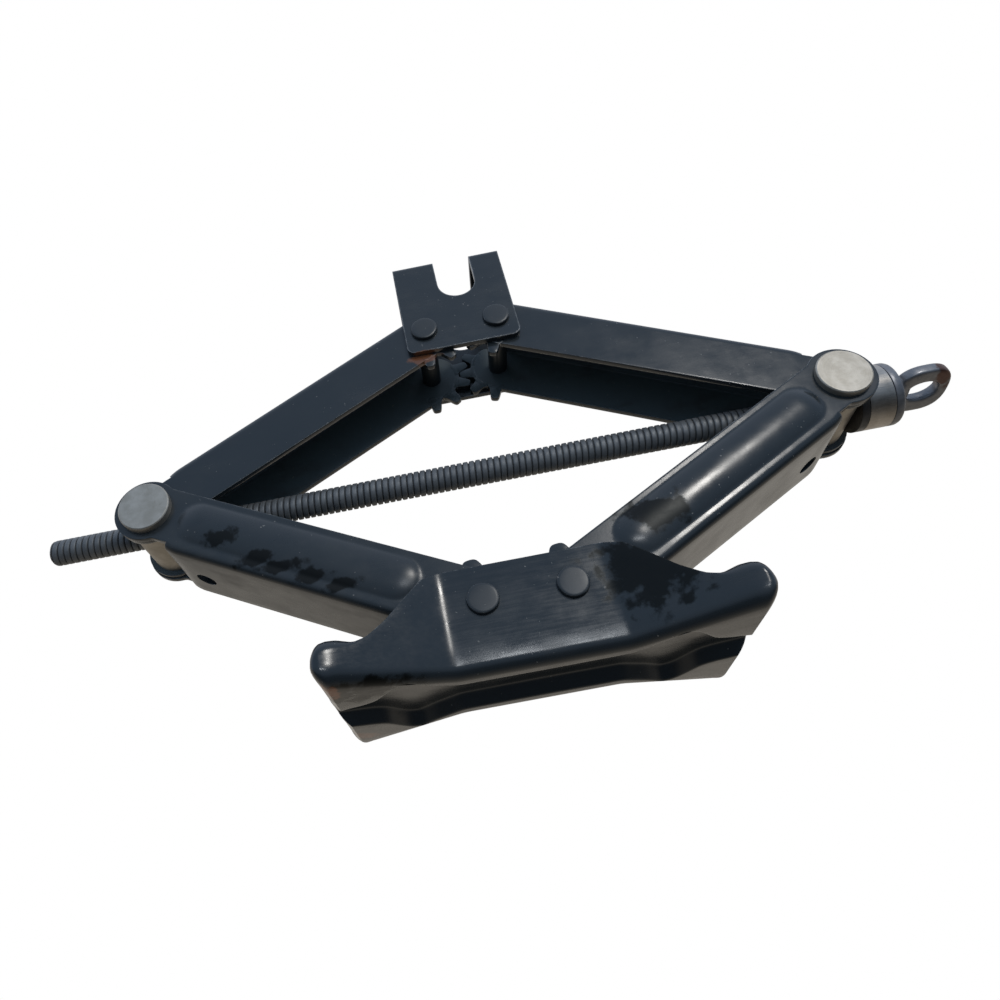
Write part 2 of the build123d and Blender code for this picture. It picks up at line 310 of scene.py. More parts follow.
def arm_outline(u, a):
    """Highest and lowest v of the flange at u."""
    if u < 0:
        circle = math.sqrt(max(a["ear"] ** 2 - u * u, 0.0))
        return circle, -circle
    line = a["inner"] + (a["inner_end"] - a["inner"]) * min(u / ARM, 1.0)
    neck = a["web"] - a["bend"]
    circle = math.sqrt(max(a["ear"] ** 2 - u * u, 0.0))
    high, low = max(line, circle), max(neck, circle)
    if u > ARM:
        end = math.sqrt(max(GEAR_ROOT ** 2 - (u - ARM) ** 2, 0.0))
        high, low = min(high, end), min(low, end)
    return high, -low


def make_arm(node, body, a, right, upper, teeth, knob=None):
    """Channel arm with goose-neck ears, free edge toward the screw, and gear teeth.

    u runs from the trunnion to the rivet and v across the arm, away from its web.
    """
    web_to = ARM - a["web_end"]
    ends = a["ear"] * np.cos(np.linspace(math.pi, math.pi / 2, 14))
    stations = np.concatenate([ends, np.arange(1.2, WEB_FROM, 1.2), [WEB_FROM],
                               np.arange(18.0, web_to - 0.5, 1.5), [web_to],
                               np.arange(web_to + 1.5, ARM - 0.5, 1.7),
                               ARM + GEAR_ROOT * np.sin(np.linspace(0, math.pi / 2, 10))])
    rows, arc, flat = 34, 6, 9
    half = a["half"]
    dip_deep, dip_long = 0.9, 6.0
    verts, faces = [], []

    def place(u, v, y):
        """Point of the arm in the frame's axes."""
        x = nut_x + u * math.cos(LIFT) + v * math.sin(LIFT)
        z = screw_z - u * math.sin(LIFT) + v * math.cos(LIFT)
        if upper:
            z = 2 * screw_z - z
        return (-x if right else x, y, z)

    def section(u, inset):
        """Points from the near flange's free edge, round the web, to the far one's."""
        high, low = arm_outline(u, a)
        points = []
        for k in range(rows):
            v = high + (low - high) * k / (rows - 1)
            points.append((v, -half + inset - bulge_at(u, v, a["bulge"])))
        if WEB_FROM <= u <= web_to:
            dip = dip_deep * max(0.0, 1 - (u - WEB_FROM) / dip_long) ** 2
            web, r = a["web"] - dip, a["bend"]
            for k in range(1, arc + 1):
                t = 0.5 * math.pi * k / arc
                points.append((-web + r - (r - inset) * math.sin(t),
                               -half + r - (r - inset) * math.cos(t)))
            inner_y = half - r
            for k in range(1, flat):
                points.append((-web + inset, -inner_y + 2 * inner_y * k / flat))
        else:
            points += [points[-1]] * (arc + flat - 1)
        mirrored = [(v, -y) for v, y in reversed(points[:rows + arc])]
        return points + mirrored

    for inset in (0.0, SHEET):
        for u in stations:
            verts += [place(float(u), v, y) for v, y in section(float(u), inset)]
    count = len(stations)
    block = len(verts) // 2
    cols = block // count
    mid = range(rows - 1, cols - rows)
    for i in range(count - 1):
        walled = WEB_FROM <= stations[i] + 1e-6 and stations[i + 1] <= web_to + 1e-6
        for j in range(cols - 1):
            if j in mid and not walled:
                continue
            p = i * cols + j
            for base in (0, block):
                faces.append((base + p, base + p + 1, base + p + 1 + cols, base + p + cols))
        edges = [0, cols - 1] if walled else [0, rows - 1, cols - rows, cols - 1]
        for j in edges:
            p = i * cols + j
            faces.append((p, p + cols, p + cols + block, p + block))
    for i, u in enumerate(stations):
        if abs(u - WEB_FROM) < 1e-6 or abs(u - web_to) < 1e-6:
            for j in mid:
                p = i * cols + j
                faces.append((p, p + 1, p + 1 + block, p + block))
    for shape in tooth_shapes(teeth, knob):
        n = len(shape)
        for side in (-1, 1):
            start = len(verts)
            for shrink in (0.02, SHEET - 0.02):
                verts += [place(ARM + p[0], p[1], side * (half - shrink)) for p in shape]
            faces.append(tuple(range(start, start + n)))
            faces.append(tuple(range(start + n, start + 2 * n)))
            for j in range(n):
                k = (j + 1) % n
                faces.append((start + j, start + k, start + n + k, start + n + j))
    piece = new_piece(node + "_pressed", verts, faces, body, [node], 40)
    add_bevel(piece, 0.3, 2, 55)
    bake_modifiers(piece)
    # Faces inside the channel take the arm's second material: dustier paint, also painted lighter
    # as painted bounce light inside the channel.
    for face in piece.data.polygons:
        x, y, z = (c / MM for c in face.center)
        x = -x if right else x
        z = 2 * screw_z - z if upper else z
        u = (x - nut_x) * math.cos(LIFT) - (z - screw_z) * math.sin(LIFT)
        v = (x - nut_x) * math.sin(LIFT) + (z - screw_z) * math.cos(LIFT)
        wall = half + bulge_at(u, v, a["bulge"])
        if abs(y) < wall - 0.6 * SHEET and v > 0.6 * SHEET - a["web"]:
            face.material_index = 1
    shade(piece, 40)
    return piece


def teeth_from(first, count):
    """Angles of neighbouring gear teeth, in degrees from the direction back to the trunnion."""
    return [first + TOOTH_STEP * k for k in range(count)]


def tooth_shapes(teeth, knob):
    """Outlines of the rounded gear teeth and the knob at the arm's rivet end.

    A kind is its angle, how far it rises from the valley, its half width and its squareness.
    """
    tip, valley, foot = 21.2, 14.6, 13.2
    overlap = 0.4
    kinds = [(angle, tip - valley, 8.8, 5) for angle in teeth]
    if knob is not None:
        kinds.append((knob, 5.0, 15.0, 4))
    shapes = []
    for middle, rise, wide, power in kinds:
        span = 1.9 * wide
        shape = []
        for off in np.linspace(-span, span, 28):
            reach = valley - overlap + (rise + overlap) / (1.0 + (abs(off) / wide) ** power)
            turn = math.radians(180 - middle - off)
            shape.append((reach * math.cos(turn), reach * math.sin(turn)))
        for off in (span, 0.0, -span):
            turn = math.radians(180 - middle - off)
            shape.append((foot * math.cos(turn), foot * math.sin(turn)))
        shapes.append(shape)
    return shapes


def drill(piece, right):
    """Round hole through the web of a lower arm."""
    u, y, deep = 30.0, 3.0, 15.0
    hole_r, reach = 5.0, 6.0
    x = nut_x + u * math.cos(LIFT) - deep * math.sin(LIFT)
    z = screw_z - u * math.sin(LIFT) - deep * math.cos(LIFT)
    axis = Vector((-math.sin(LIFT), 0, -math.cos(LIFT)))
    if right:
        x, axis.x = -x, -axis.x
    verts, faces = lathe([(hole_r, -reach), (hole_r, reach)], (x, y, z), axis, 40)
    mesh = bpy.data.meshes.new("drill")
    mesh.from_pydata([tuple(c * MM for c in v) for v in verts], [], faces)
    work = bmesh.new()
    work.from_mesh(mesh)
    bmesh.ops.recalc_face_normals(work, faces=work.faces)
    work.to_mesh(mesh)
    work.free()
    tool = bpy.data.objects.new("drill", mesh)
    scene.collection.objects.link(tool)
    work = bmesh.new()
    work.from_mesh(piece.data)
    bmesh.ops.remove_doubles(work, verts=work.verts, dist=MERGE_MM * MM)
    if work.calc_volume(signed=True) < 0:
        bmesh.ops.reverse_faces(work, faces=work.faces)
    work.to_mesh(piece.data)
    work.free()
    cut = piece.modifiers.new("hole", "BOOLEAN")
    cut.operation = "DIFFERENCE"
    cut.solver = "EXACT"
    cut.use_self = True
    cut.object = tool
    bpy.context.view_layer.update()
    bake_modifiers(piece)
    bpy.data.objects.remove(tool)
    shade(piece, 40)


arm_lower_left = make_arm("lower_arm_left", "lower_left", LOWER, right=False, upper=False,
                          teeth=teeth_from(133, 2), knob=56)
arm_lower_right = make_arm("lower_arm_right", "lower_right", LOWER, right=True, upper=False,
                           teeth=teeth_from(115, 3), knob=68)
arm_upper_left = make_arm("upper_arm_left", "upper_left", UPPER, right=False, upper=True,
                          teeth=teeth_from(61, 4))
arm_upper_right = make_arm("upper_arm_right", "upper_right", UPPER, right=True, upper=True,
                           teeth=teeth_from(79, 4))
drill(arm_lower_left, right=False)
drill(arm_lower_right, right=True)
arms = [arm_lower_left, arm_lower_right, arm_upper_left, arm_upper_right]


# ---- screw -------------------------------------------------------------------------------
def make_screw():
    """Trapezoidal thread with softened crests, rounded at its free end, and a flattened mark."""
    pitch, steps = 3.0, 40
    lo, hi = box_mm("lead_screw")
    crest = (hi.z - lo.z) / 2
    profile = [(0.0, crest - 0.22), (0.22, crest - 0.04), (0.60, crest), (1.60, crest),
               (2.04, crest - 0.04), (2.26, crest - 0.22), (2.42, crest - 0.75),
               (2.54, crest - 0.9), (2.70, crest - 0.9), (2.84, crest - 0.75)]
    turns = int((hi.x - lo.x) / pitch) + 4
    start_x = lo.x + 1.0
    first = start_x - 2 * pitch
    end_long, end_drop = 3.0, 2.6
    mark_x, mark_half, mark_angle = 92.0, 2.2, math.radians(-65.0)
    verts = []
    for turn in range(turns):
        for offset, radius in profile:
            for j in range(steps):
                angle = 2 * math.pi * j / steps
                x = first + turn * pitch + offset + pitch * j / steps
                inside = min(x - start_x, end_long)
                rounding = math.sqrt(max(0.0, 1 - (1 - inside / end_long) ** 2))
                r = min(radius, crest - end_drop + end_drop * rounding)
                near = math.exp(-((x - mark_x) / mark_half) ** 4)
                near *= max(0.0, math.cos(angle - mark_angle)) ** 2
                r = r + near * (crest - 0.35 - r) * 0.75
                verts.append((x, r * math.sin(angle), screw_z + r * math.cos(angle)))
    rows = turns * len(profile)
    faces = []
    for i in range(rows - 1):
        for j in range(steps):
            if j < steps - 1:
                a, b = i * steps + j, i * steps + j + 1
                faces.append((a, b, b + steps, a + steps))
            elif i + len(profile) + 1 < rows:
                a, b = i * steps + j, (i + len(profile)) * steps
                faces.append((a, b, b + steps, a + steps))
    piece = new_piece("thread", verts, faces, "screw", ["lead_screw"], 50)
    cut = bmesh.new()
    cut.from_mesh(piece.data)
    for x, normal in ((start_x, -1.0), (hi.x, 1.0)):
        made = bmesh.ops.bisect_plane(cut, geom=cut.verts[:] + cut.edges[:] + cut.faces[:],
                                      plane_co=(x * MM, 0, 0), plane_no=(normal, 0, 0),
                                      clear_outer=True)
        rim = [e for e in made["geom_cut"] if isinstance(e, bmesh.types.BMEdge)]
        bmesh.ops.holes_fill(cut, edges=rim, sides=0)
    bmesh.ops.recalc_face_normals(cut, faces=cut.faces)
    cut.to_mesh(piece.data)
    cut.free()
    shade(piece, 50)
    return piece


thread = make_screw()


# ---- rivets ------------------------------------------------------------------------------
def make_rivet(node, body, seed):
    """Hammered rivet: shank through both walls and two flattened heads."""
    lo, hi = box_mm(node)
    middle = (lo + hi) / 2
    half = hi.y
    head = (hi.x - lo.x) / 2
    shank = head - 1.8
    inner = half - RIVET_HEAD

    def wobble(a, radius):
        """Hammer marks round the rim, as a share of the radius."""
        if radius < head * 0.8:
            return 0.0
        return -0.02 + 0.012 * math.sin(2 * a + seed) + 0.008 * math.sin(5 * a + 2.3 * seed)

    side = [(shank, inner - 6.0), (shank, inner), (head * 0.985, inner + 0.01),
            (head, inner + 0.35), (head, inner + 1.35), (head * 0.975, inner + 1.75),
            (head * 0.92, inner + 1.95), (head * 0.80, inner + 2.03), (head * 0.45, inner + 2.08),
            (head * 0.18, inner + RIVET_HEAD)]
    profile = [(r, -y) for r, y in reversed(side)] + side
    verts, faces = lathe(profile, middle, (0, 1, 0), 56, wobble)
    return new_piece(node + "_formed", verts, faces, body, [node], 30)


rivets = [make_rivet("base_rivet_left", "base", 0.4), make_rivet("base_rivet_right", "base", 2.9),
          make_rivet("saddle_rivet_left", "saddle", 1.7),
          make_rivet("saddle_rivet_right", "saddle", 4.1)]


# ---- eye ---------------------------------------------------------------------------------
def make_eye():
    """Collar and forged loop that the crank hooks into."""
    lo, hi = box_mm("eye_head")
    x0, tip = lo.x, hi.x
    collar_r = (hi.z - lo.z) / 2
    profile = [(6.0, x0), (collar_r - 0.7, x0), (collar_r - 0.15, x0 + 0.25),
               (collar_r, x0 + 0.8), (collar_r, x0 + 3.0), (collar_r - 0.35, x0 + 3.9),
               (collar_r - 1.3, x0 + 4.6), (collar_r - 3.0, x0 + 5.0), (collar_r - 4.6, x0 + 5.3),
               (collar_r - 6.2, x0 + 6.4), (collar_r - 7.4, x0 + 8.2), (4.0, x0 + 9.0)]
    verts, faces = lathe(profile, (0, 0, screw_z), (1, 0, 0), 72)
    collar = new_piece("eye_collar", verts, faces, "screw", ["eye_head"], 40)

    tilt = Matrix.Rotation(math.radians(-8.0), 3, "X")
    hole_x, hole_long, hole_high = 205.4, 7.7, 5.6
    loop_back, loop_high, loop_power = 13.5, 13.4, 2.7
    thick, band_power = 2.9, 0.45
    around, ring, voxel = 96, 20, 0.4
    verts = []
    for i in range(around):
        a = 2 * math.pi * i / around
        c, s = math.cos(a), math.sin(a)
        inner = 1.0 / math.sqrt((c / hole_long) ** 2 + (s / hole_high) ** 2)
        loop_long = tip - hole_x if c > 0 else loop_back
        outer = (abs(c / loop_long) ** loop_power
                 + abs(s / loop_high) ** loop_power) ** (-1.0 / loop_power)
        mid, half = (inner + outer) / 2, (outer - inner) / 2
        for j in range(ring):
            b = 2 * math.pi * j / ring
            u = math.copysign(abs(math.cos(b)) ** band_power, math.cos(b))
            v = math.copysign(abs(math.sin(b)) ** band_power, math.sin(b))
            r = mid + half * u
            p = tilt @ Vector((hole_x + r * c, r * s, thick * v))
            verts.append((p.x, p.y, p.z + screw_z))
    faces = grid_faces(around, ring, wrap=True)
    for j in range(ring):
        k = (j + 1) % ring
        a = (around - 1) * ring
        faces.append((a + j, a + k, k, j))
    start = len(verts)
    neck_x = x0 + 3.6
    neck = [(0.0, 10.4, 10.4), (2.0, 9.4, 8.4), (4.0, 8.8, 6.4), (6.0, 8.9, 4.7), (8.0, 9.2, 3.4),
            (9.6, 8.6, 2.4)]
    count = 48
    for dx, wide, high in neck:
        for j in range(count):
            b = 2 * math.pi * j / count
            p = tilt @ Vector((neck_x + dx, wide * math.cos(b), high * math.sin(b)))
            verts.append((p.x, p.y, p.z + screw_z))
    faces += grid_faces(len(neck), count, wrap=True, start=start)
    faces.append(tuple(range(start, start + count)))
    last = start + (len(neck) - 1) * count
    faces.append(tuple(range(last, last + count)))
    loop = new_piece("eye_loop", verts, faces, "screw", (), 180)
    remesh = loop.modifiers.new("remesh", "REMESH")
    remesh.mode = "VOXEL"
    remesh.voxel_size = voxel * MM
    smooth = loop.modifiers.new("smooth", "SMOOTH")
    smooth.factor = 0.5
    smooth.iterations = 5
    bake_modifiers(loop)
    shade(loop, 180)
    return collar, loop


eye_collar, eye_loop = make_eye()


# ---- materials ---------------------------------------------------------------------------
class Nodes:
    """Short calls for building a node material."""

    def __init__(self, name):
        self.material = bpy.data.materials.new(name)
        self.material.use_nodes = True
        self.tree = self.material.node_tree
        self.tree.nodes.clear()
        self.out = self.tree.nodes.new("ShaderNodeOutputMaterial")
        self.shader = self.tree.nodes.new("ShaderNodeBsdfPrincipled")
        self.link(self.shader.outputs[0], self.out.inputs[0])
        self.place = self.node("ShaderNodeTexCoord").outputs["Object"]

    def node(self, kind, **settings):
        """New node of this kind with its settings."""
        made = self.tree.nodes.new(kind)
        for key, value in settings.items():
            setattr(made, key, value)
        return made

    def link(self, a, b):
        """Join output a to input b."""
        self.tree.links.new(a, b)

    def feed(self, socket, value):
        """Give an input a link or a fixed value."""
        if isinstance(value, bpy.types.NodeSocket):
            self.link(value, socket)
        elif isinstance(value, (tuple, list)) and len(value) == 3 and socket.type == "RGBA":
            socket.default_value = (*value, 1.0)
        else:
            socket.default_value = value

    def math(self, operation, a, b=0.0, clamp=False):
        """Result of one sum on two values or sockets."""
        made = self.node("ShaderNodeMath", operation=operation, use_clamp=clamp)
        self.feed(made.inputs[0], a)
        self.feed(made.inputs[1], b)
        return made.outputs[0]

    def noise(self, size_mm, detail=4.0, rough=0.55, stretch=(1, 1, 1), shift=(0, 0, 0)):
        """Noise whose features are about size_mm across, in millimetres of the object."""
        mapping = self.node("ShaderNodeMapping")
        self.link(self.place, mapping.inputs["Vector"])
        mapping.inputs["Scale"].default_value = [s / (size_mm * MM) for s in stretch]
        mapping.inputs["Location"].default_value = shift
        made = self.node("ShaderNodeTexNoise")
        self.link(mapping.outputs[0], made.inputs["Vector"])
        made.inputs["Scale"].default_value = 1.0
        made.inputs["Detail"].default_value = detail
        made.inputs["Roughness"].default_value = rough
        return made.outputs["Fac"]

    def ramp(self, value, low, high, out_low=0.0, out_high=1.0):
        """Smooth step from one output to the other while the value goes from low to high."""
        made = self.node("ShaderNodeMapRange", interpolation_type="SMOOTHSTEP")
        self.feed(made.inputs["Value"], value)
        for key, number in (("From Min", low), ("From Max", high), ("To Min", out_low),
                            ("To Max", out_high)):
            made.inputs[key].default_value = number
        return made.outputs["Result"]

    def mix(self, share, a, b):
        """Colour between a, at a share of 0, and b, at 1."""
        made = self.node("ShaderNodeMix", data_type="RGBA")
        self.feed(made.inputs["Factor"], share)
        self.feed(made.inputs["A"], a)
        self.feed(made.inputs["B"], b)
        return made.outputs["Result"]

    def set(self, **values):
        """Feed the shader's inputs; an underscore stands for a space in the input's name."""
        for key, value in values.items():
            self.feed(self.shader.inputs[key.replace("_", " ")], value)

    def soft_normal(self, radius_mm):
        """Normal that rounds every edge over this radius."""
        bevel = self.node("ShaderNodeBevel", samples=6)
        bevel.inputs["Radius"].default_value = radius_mm * MM
        return bevel.outputs[0]

    def edges(self, soft):
        """0 on flat ground, near 1 on edges: how far the softened normal leaves the true one."""
        flat = self.node("ShaderNodeNewGeometry").outputs["Normal"]
        dot = self.node("ShaderNodeVectorMath", operation="DOT_PRODUCT")
        self.link(soft, dot.inputs[0])
        self.link(flat, dot.inputs[1])
        return self.math("SUBTRACT", 1.0, dot.outputs["Value"])

    def spot(self, middle_mm, reach_mm):
        """Mask of a stain with a ragged outline, reach_mm being its three half lengths."""
        away = self.node("ShaderNodeVectorMath", operation="SUBTRACT")
        self.link(self.place, away.inputs[0])
        away.inputs[1].default_value = [c * MM for c in middle_mm]
        scaled = self.node("ShaderNodeVectorMath", operation="DIVIDE")
        self.link(away.outputs[0], scaled.inputs[0])
        scaled.inputs[1].default_value = [r * MM for r in reach_mm]
        length = self.node("ShaderNodeVectorMath", operation="LENGTH")
        self.link(scaled.outputs[0], length.inputs[0])
        ragged = self.math("ADD", length.outputs["Value"],
                           self.ramp(self.noise(7.0, 5.0, 0.55), 0.25, 0.75, -0.5, 0.5))
        return self.ramp(ragged, 0.72, 1.2, 1.0, 0.0)

    def bump(self, height, distance_mm, strength=1.0, normal=None):
        """Normal of a surface that stands this far out where the height is 1."""
        made = self.node("ShaderNodeBump")
        made.inputs["Strength"].default_value = strength
        made.inputs["Distance"].default_value = distance_mm * MM
        self.feed(made.inputs["Height"], height)
        if normal is not None:
            self.link(normal, made.inputs["Normal"])
        return made.outputs[0]


PAINT = (0.0150, 0.0205, 0.0245)
DUST = (0.046, 0.045, 0.041)
# Inside of the arm channels: dust tone, and also painted light that lightens the hollow where the
# scene gives little light from below.
INNER_DUST_AND_PAINTED_LIGHT = (0.085, 0.110, 0.118)
STEEL = (0.46, 0.45, 0.43)
RUST = (0.16, 0.062, 0.028)
STAIN = (0.003, 0.004, 0.0035)
SPECK = (0.30, 0.28, 0.25)
TARNISH = (0.20, 0.15, 0.11)
OLD_RUST = (0.10, 0.052, 0.040)


def paint_material(name, dirt=0.35, wear=0.5, gloss=0.2, dark_spots=(), rust_spots=(), base=PAINT,
                   streak=(0.35, 1.0, 1.0), edge_mm=0.6, brushed=0.008):
    """Satin black paint: orange peel, dust film, smears, worn edges, oily stains and rust."""
    n = Nodes(name)
    soft = n.soft_normal(edge_mm)
    edge = n.edges(soft)
    patches = n.noise(34.0, 5.0, 0.62)
    smear = n.noise(9.0, 6.0, 0.6, stretch=streak)
    grain = n.noise(0.9, 3.0, 0.6)
    film = n.math("MULTIPLY", n.ramp(patches, 0.42, 0.66), n.ramp(smear, 0.35, 0.7), clamp=True)
    film = n.math("MULTIPLY", film, dirt, clamp=True)
    colour = n.mix(film, base, DUST)
    specks = n.ramp(n.noise(1.7, 2.0, 0.5, shift=(3.1, 1.2, 7.7)), 0.735, 0.76)
    colour = n.mix(n.math("MULTIPLY", specks, 0.5), colour, SPECK)
    rub = n.noise(5.0, 6.0, 0.7, shift=(9.0, 4.0, 2.0))
    worn = n.math("MULTIPLY", n.ramp(edge, 0.012, 0.10), n.ramp(rub, 0.60 - 0.35 * wear, 0.72),
                  clamp=True)
    colour = n.mix(worn, colour, STEEL)
    rust = n.math("MULTIPLY", n.ramp(edge, 0.004, 0.05),
                  n.ramp(n.noise(13.0, 6.0, 0.75, shift=(1.0, 8.0, 5.0)), 0.60, 0.72), clamp=True)
    colour = n.mix(n.math("MULTIPLY", rust, 0.55), colour, RUST)
    rough = n.ramp(n.noise(22.0, 6.0, 0.6, shift=(4.0, 1.0, 6.0)), 0.3, 0.7, gloss, gloss + 0.09)
    rough = n.math("ADD", rough, n.math("MULTIPLY", film, 0.3), clamp=True)
    rough = n.math("ADD", rough, n.math("MULTIPLY", grain, 0.05), clamp=True)
    fine = n.noise(1.1, 5.0, 0.7, stretch=(0.06, 1.0, 1.0), shift=(6.0, 2.0, 8.0))
    rough = n.math("ADD", rough, n.ramp(fine, 0.35, 0.65, -brushed, brushed), clamp=True)
    metal = n.math("MULTIPLY", worn, 0.85)
    for centre, reach in dark_spots:
        stain = n.spot(centre, reach)
        metal = n.math("MAXIMUM", metal, n.math("MULTIPLY", stain, 0.6))
        colour = n.mix(stain, colour, STAIN)
        rough = n.math("ADD", rough, n.math("MULTIPLY", stain, 0.12), clamp=True)
    for centre, reach in rust_spots:
        colour = n.mix(n.spot(centre, reach), colour, RUST)
    n.set(Base_Color=colour, Roughness=rough, Metallic=metal)
    n.shader.inputs["IOR"].default_value = 1.52
    peel = n.bump(grain, 0.02, 0.35, soft)
    wave = n.bump(n.noise(16.0, 2.0, 0.4), 0.35, 0.55, peel)
    n.set(Normal=wave)
    return n.material


def turned_material(name, centre):
    """Bare turned steel: fine rings round the trunnion's axis and a slightly dirty film."""
    n = Nodes(name)
    soft = n.soft_normal(0.4)
    ring_mm = 0.35
    apart = n.node("ShaderNodeSeparateXYZ")
    n.link(n.place, apart.inputs[0])
    dx = n.math("SUBTRACT", apart.outputs["X"], centre.x * MM)
    dz = n.math("SUBTRACT", apart.outputs["Z"], centre.z * MM)
    radius = n.math("SQRT", n.math("ADD", n.math("MULTIPLY", dx, dx), n.math("MULTIPLY", dz, dz)))
    rings = n.node("ShaderNodeTexNoise", noise_dimensions="1D")
    n.link(n.math("MULTIPLY", radius, 1.0 / (ring_mm * MM)), rings.inputs["W"])
    rings.inputs["Scale"].default_value = 1.0
    rings.inputs["Detail"].default_value = 3.0
    cloud = n.noise(7.0, 5.0, 0.6)
    colour = n.mix(n.ramp(cloud, 0.35, 0.7), (0.35, 0.32, 0.27), (0.45, 0.415, 0.36))
    colour = n.mix(n.math("MULTIPLY", n.ramp(n.noise(2.4, 4.0, 0.6), 0.62, 0.72), 0.25), colour,
                   TARNISH)
    n.set(Base_Color=colour, Metallic=0.85,
          Roughness=n.ramp(rings.outputs["Fac"], 0.3, 0.7, 0.42, 0.55))
    n.set(Normal=n.bump(rings.outputs["Fac"], 0.02, 0.5, soft))
    return n.material


def steel_material(name, colour_a, colour_b, rough_a, rough_b, metallic, grain_mm=1.2,
                   along_x=1.0, rust=0.0, rust_spots=()):
    """Plain steel part: cloudy colour, brushed or forged grain and optional rust."""
    n = Nodes(name)
    soft = n.soft_normal(0.35)
    cloud = n.noise(8.0, 5.0, 0.62)
    grain = n.noise(grain_mm, 4.0, 0.6, stretch=(along_x, 1.0, 1.0))
    colour = n.mix(n.ramp(cloud, 0.3, 0.7), colour_a, colour_b)
    mask = n.ramp(n.noise(6.0, 6.0, 0.7, shift=(2.0, 5.0, 1.0)), 0.66 - 0.1 * rust, 0.74)
    colour = n.mix(n.math("MULTIPLY", mask, rust), colour, RUST)
    for centre, reach in rust_spots:
        colour = n.mix(n.spot(centre, reach), colour, OLD_RUST)
    n.set(Base_Color=colour, Metallic=metallic,
          Roughness=n.ramp(grain, 0.3, 0.7, rough_a, rough_b))
    n.set(Normal=n.bump(grain, 0.05, 0.5, soft))
    return n.material


def thread_material(name):
    """Phosphated screw: grey lands, with the thread roots painted dark as painted shade."""
    n = Nodes(name)
    apart = n.node("ShaderNodeSeparateXYZ")
    n.link(n.place, apart.inputs[0])
    dz = n.math("SUBTRACT", apart.outputs["Z"], screw_z * MM)
    y = apart.outputs["Y"]
    radius = n.math("SQRT", n.math("ADD", n.math("MULTIPLY", y, y), n.math("MULTIPLY", dz, dz)))
    root_r, land_r = 4.9, 5.95
    share_out_of_painted_root_shade = n.ramp(radius, root_r * MM, land_r * MM)
    cloud = n.noise(5.0, 5.0, 0.65)
    land = n.mix(n.ramp(cloud, 0.3, 0.7), (0.115, 0.120, 0.124), (0.170, 0.174, 0.174))
    # Painted shade: near black at the thread roots, grey on the lands.
    colour = n.mix(share_out_of_painted_root_shade, (0.022, 0.023, 0.024), land)
    grain = n.noise(0.5, 3.0, 0.6)
    n.set(Base_Color=colour, Metallic=0.35, Roughness=n.ramp(grain, 0.3, 0.7, 0.42, 0.6))
    n.set(Normal=n.bump(grain, 0.05, 0.4))
    return n.material


def give(material, *pieces):
    """Make this the first material of each piece; faces keep the slot number they have."""
    for piece in pieces:
        inside = [face.material_index for face in piece.data.polygons]
        piece.data.materials.clear()
        piece.data.materials.append(material)
        piece.data.polygons.foreach_set("material_index", inside)


arm_paint = paint_material("arm_paint", dirt=0.18, wear=0.6, gloss=0.15,
                           dark_spots=[((60, -26, 55), (16, 6, 8))])
left_paint = paint_material("left_arm_paint", dirt=0.35, wear=0.5, gloss=0.22,
                            dark_spots=[((-127, -25, 82), (9, 8, 4)),
                                        ((-112, -24, 69), (9, 8, 3)),
                                        ((-100, -24, 62.5), (9, 8, 3)),
                                        ((-87, -24, 55.5), (8, 8, 3)),
                                        ((-75, -24, 49), (7, 8, 2.5))])
base_paint = paint_material("base_paint", dirt=0.2, wear=0.35, gloss=0.12, brushed=0.03,
                            dark_spots=[((50, -33, 30), (22, 18, 18)),
                                        ((-70, -34, -3), (20, 14, 6))],
                            rust_spots=[((-84, -36, 1), (5, 8, 2)), ((-80, 30, 1), (7, 5, 2))])
rivet_paint = paint_material("rivet_paint", dirt=0.25, wear=0.4, gloss=0.28)
upper_paint = paint_material("upper_arm_paint", dirt=0.2, wear=0.85, gloss=0.15,
                             rust_spots=[((-20, -20, 163), (8, 4, 3)), ((10, 19, 163), (4, 4, 3))])
saddle_paint = paint_material("saddle_paint", dirt=0.25, wear=1.0, gloss=0.17, edge_mm=1.1,
                              rust_spots=[((-19, -23, 165), (7, 3, 1))])
# Channel insides: dustier paint, partly painted light, lighter than the outer paint as painted
# bounce light.
inner_dust_and_painted_light = paint_material("inner_dust_and_painted_light", dirt=0.7, wear=0.3, gloss=0.35, base=INNER_DUST_AND_PAINTED_LIGHT)
give(base_paint, base_shell)
give(rivet_paint, *rivets)
give(arm_paint, arm_lower_right)
give(left_paint, arm_lower_left)
give(upper_paint, arm_upper_left, arm_upper_right)
give(saddle_paint, nodes["saddle_bracket"])
for arm in arms:
    arm.data.materials.append(inner_dust_and_painted_light)
give(turned_material("turned_nut", nut_axis), nodes["nut_trunnion"])
give(turned_material("turned_thrust", Vector((thrust_x, 0, screw_z))), nodes["thrust_trunnion"])
give(thread_material("phosphate"), thread)
give(steel_material("cup_steel", (0.30, 0.275, 0.245), (0.42, 0.39, 0.355), 0.26, 0.40,
                    metallic=1.0, grain_mm=0.5, along_x=0.08), nodes["thrust_cup"])
# Race and ball cage: dark steel, made near-black also as painted shadow of the arm's ear falling
# on the cup.
give(steel_material("race_dark_with_painted_shadow", (0.03, 0.03, 0.03), (0.06, 0.06, 0.06), 0.3, 0.5, metallic=0.5),
     nodes["thrust_race"], nodes["ball_cage"])
give(steel_material("ball_steel", (0.6, 0.6, 0.6), (0.65, 0.65, 0.65), 0.1, 0.16, metallic=1.0),
     nodes["bearing_balls"])
give(steel_material("forged", (0.15, 0.152, 0.162), (0.22, 0.22, 0.228), 0.30, 0.48, metallic=0.7,
                    grain_mm=1.6, rust=0.4, rust_spots=[((213, -8, screw_z + 2), (6, 8, 5))]),
     eye_collar, eye_loop)


